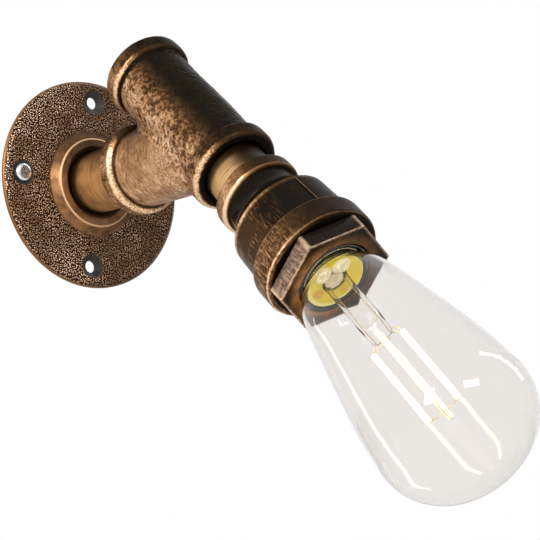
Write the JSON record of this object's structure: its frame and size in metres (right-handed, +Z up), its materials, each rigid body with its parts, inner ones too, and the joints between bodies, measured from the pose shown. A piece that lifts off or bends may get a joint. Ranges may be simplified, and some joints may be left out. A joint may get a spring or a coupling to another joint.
{
  "type": "industrial pipe wall light",
  "caption": "Industrial pipe wall light: a round floor flange and a wye fitting carry a bushed reducing socket that holds a clear filament bulb aimed out and down.",
  "frame": {"origin": "middle of the flange's back face, on the axis of the wall nipple, in the plane of the wall", "axes": "+Z up, the wall is the plane Y = 0, the light stands out from it towards -Y and +Y points into the wall; the fixing holes lie on X and Z"},
  "size_m": [0.0908, 0.239, 0.2044],
  "materials": {
    "flange_bronze": "pebbled antique bronze finish over cast iron",
    "fitting_bronze": "mottled antique bronze finish over malleable iron",
    "pipe_bronze": "fine turned marks under a bronze tint",
    "bushing_bronze": "scratched dark bronze with worn edges",
    "zinc_screw": "zinc-plated steel",
    "black_moulding": "black thermoset moulding",
    "holder_ceramic": "glazed porcelain",
    "contact_brass": "bright brass",
    "wire_brown": "brown insulation",
    "wire_blue": "blue insulation",
    "wire_green": "green and yellow insulation",
    "solder": "solder",
    "cap_metal": "nickel-plated brass, warm in the lamp's light",
    "cap_glass": "black glass insulator",
    "driver_board": "driver circuit board",
    "shield_yellow": "yellow coated shield lit by the filaments",
    "clear_glass": "clear blown glass",
    "stem_glass": "clear pressed glass",
    "lead_wire": "nickel-iron wire",
    "filament_glow": "glowing coated filament"
  },
  "bodies": {
    "wall_mount": {"wall_flange": "flange_bronze", "fixing_screws": "zinc_screw", "wall_nipple": "pipe_bronze"},
    "arm": {"wye_fitting": "fitting_bronze", "end_plug": "fitting_bronze", "lamp_nipple": "pipe_bronze", "reducing_socket": "fitting_bronze", "hex_bushing": "bushing_bronze", "holder_shell": "black_moulding", "holder_insert": "holder_ceramic", "holder_cap": "black_moulding", "terminal_screws": "contact_brass", "screw_shell": "contact_brass", "centre_contact": "contact_brass", "wire_live": "wire_brown", "wire_neutral": "wire_blue", "wire_earth": "wire_green", "earth_tag": "contact_brass", "earth_screw": "zinc_screw"},
    "bulb_tip": {"bulb_contact_tip": "solder"},
    "bulb": {"bulb_cap_shell": "cap_metal", "bulb_cap_insulator": "cap_glass", "bulb_driver": "driver_board", "bulb_glass": "clear_glass", "bulb_stem": "stem_glass", "bulb_lead_wires": "lead_wire", "neck_shield": "shield_yellow", "filament_supports": "lead_wire", "led_filaments": "filament_glow"}
  },
  "joints": [
    {"name": "arm_swivel", "type": "hinge", "parent": "wall_mount", "child": "arm", "pos_m": [0, 0, 0], "axis": [0, -1, 0], "range_deg": [-97.2, 82.8]},
    {"name": "bulb_back_out", "type": "slide", "parent": "arm", "child": "bulb_tip", "axis": [0.0873, -0.7175, -0.691], "range_m": [0, 0.0218]},
    {"name": "bulb_unscrew", "type": "hinge", "parent": "bulb_tip", "child": "bulb", "pos_m": [0, -0.0869, 0], "axis": [0.0873, -0.7175, -0.691], "range_deg": [0, 2160]}
  ],
  "couplings": [
    {"joint": "bulb_back_out", "follows": "bulb_unscrew", "m_per_rad": 0.00057757}
  ]
}
